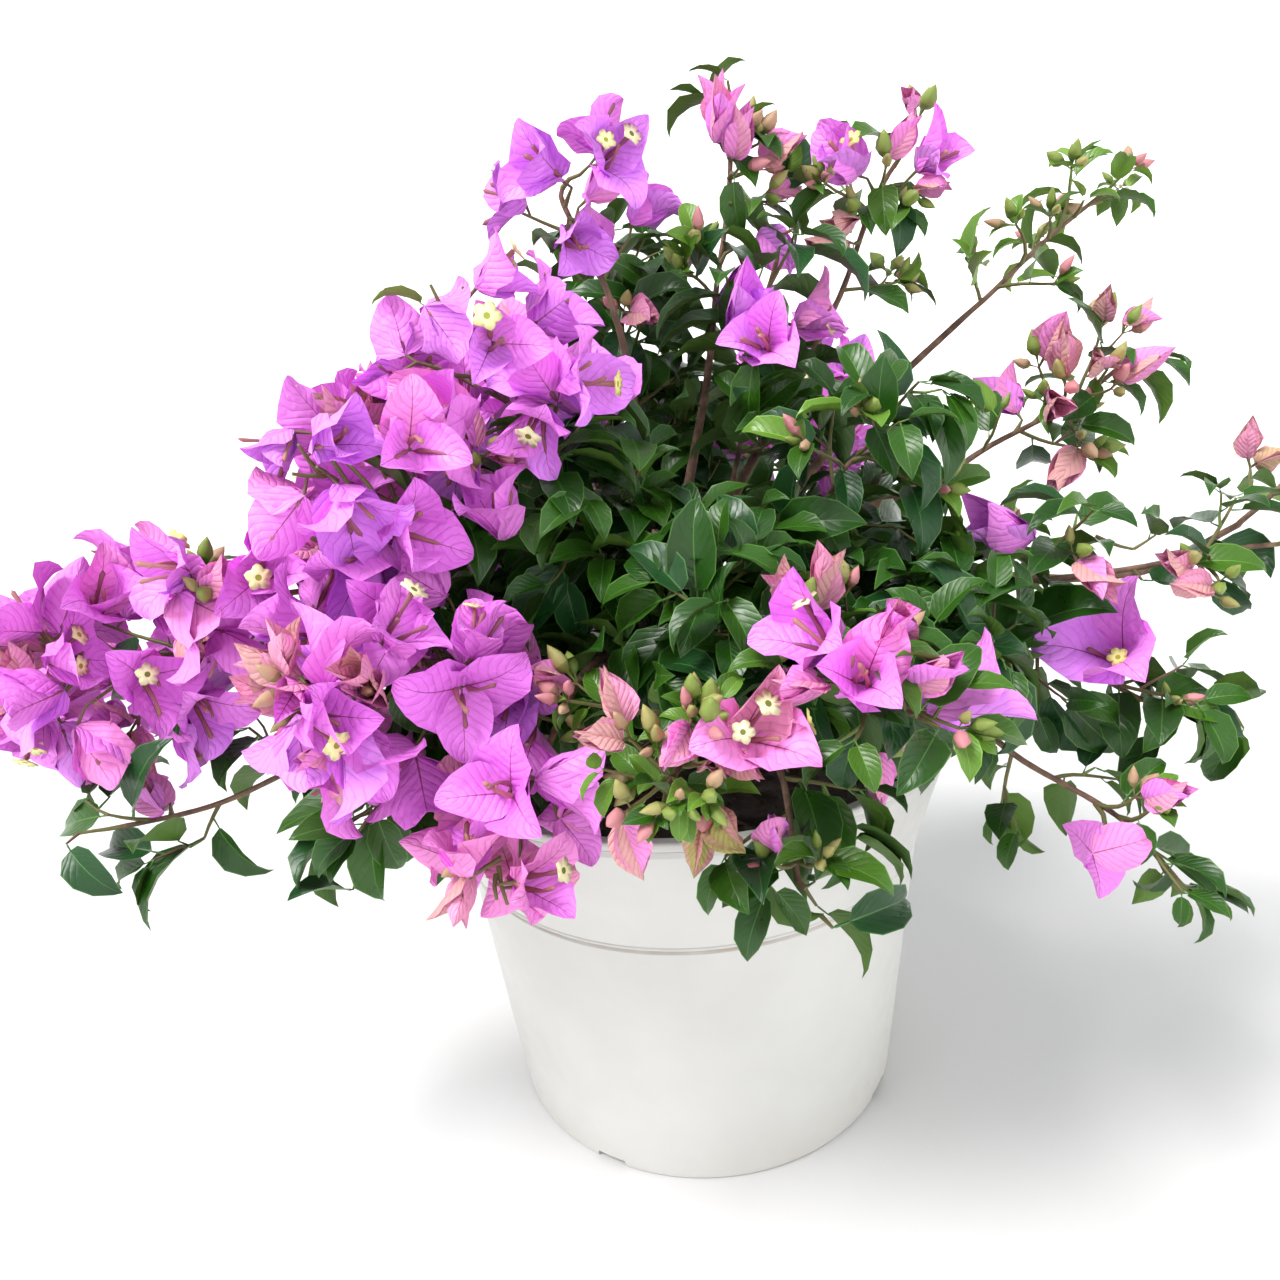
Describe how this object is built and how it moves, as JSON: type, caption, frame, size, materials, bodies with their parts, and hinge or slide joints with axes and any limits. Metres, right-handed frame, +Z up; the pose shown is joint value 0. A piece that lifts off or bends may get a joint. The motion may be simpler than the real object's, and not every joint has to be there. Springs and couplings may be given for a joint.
{
  "type": "potted bougainvillea bush",
  "caption": "Spreading bougainvillea bush in a tapered round nursery pot: a short trunk, arching canes, papery bract clusters and leafy twigs.",
  "frame": {"origin": "centre of the pot's flat underside", "axes": "+Z up through the pot's axis, -Y towards the plant's front, +X towards its right-hand trailing canes"},
  "size_m": [0.6218, 0.4231, 0.4843],
  "materials": {
    "pot_plastic": "cream-white moulded plastic, faintly blotched, matte",
    "potting_soil": "dark moist potting mix with bark chips",
    "cane_bark": "brown woody cane with fine lengthwise ridges",
    "leaf_green": "dark green, slightly glossy leaf with a pale midrib",
    "bract_magenta": "thin papery lilac-pink bract with darker veins"
  },
  "bodies": {
    "root": {"pot": "pot_plastic", "soil": "potting_soil", "trunk": "cane_bark", "cane_far_left": "cane_bark", "cane_left": "cane_bark", "cane_left_upper": "cane_bark", "cane_left_shoulder": "cane_bark", "cane_left_front": "cane_bark", "cane_rim_left": "cane_bark", "cane_left_trail": "cane_bark", "cane_crown_left": "cane_bark", "cane_crown": "cane_bark", "cane_crown_right": "cane_bark", "cane_upper_right": "cane_bark", "cane_right_spray": "cane_bark", "cane_right": "cane_bark", "cane_far_right": "cane_bark", "cane_right_edge": "cane_bark", "cane_right_trail": "cane_bark", "cane_right_skirt": "cane_bark", "cane_front_right": "cane_bark", "cane_front": "cane_bark", "cane_back_left": "cane_bark", "cane_back": "cane_bark", "cane_back_right": "cane_bark", "blooms_far_left": "bract_magenta", "blooms_left": "bract_magenta", "blooms_left_upper": "bract_magenta", "blooms_left_shoulder": "bract_magenta", "blooms_left_front": "bract_magenta", "blooms_rim_left": "bract_magenta", "leaves_left_trail": "leaf_green", "leaves_left_skirt": "leaf_green", "blooms_crown_left": "bract_magenta", "buds_crown": "leaf_green", "buds_crown_right": "leaf_green", "shoots_upper_right": "leaf_green", "buds_right_spray": "leaf_green", "blooms_right": "bract_magenta", "blooms_far_right": "bract_magenta", "shoots_right_edge": "leaf_green", "leaves_right_trail": "leaf_green", "trail_right_skirt": "leaf_green", "blooms_front_right": "bract_magenta", "shoots_front": "leaf_green", "leaves_front_skirt": "leaf_green", "leaves_heart_left": "leaf_green", "leaves_heart": "leaf_green", "leaves_heart_right": "leaf_green", "leaves_heart_low_left": "leaf_green", "leaves_heart_low_right": "leaf_green", "leaves_heart_top": "leaf_green", "leaves_heart_back": "leaf_green", "blooms_back_left": "bract_magenta", "leaves_back_left_low": "leaf_green", "blooms_back": "bract_magenta", "leaves_back_low": "leaf_green", "blooms_back_right": "bract_magenta", "leaves_back_right_low": "leaf_green", "leaves_back_high": "leaf_green"}
  },
  "joints": []
}
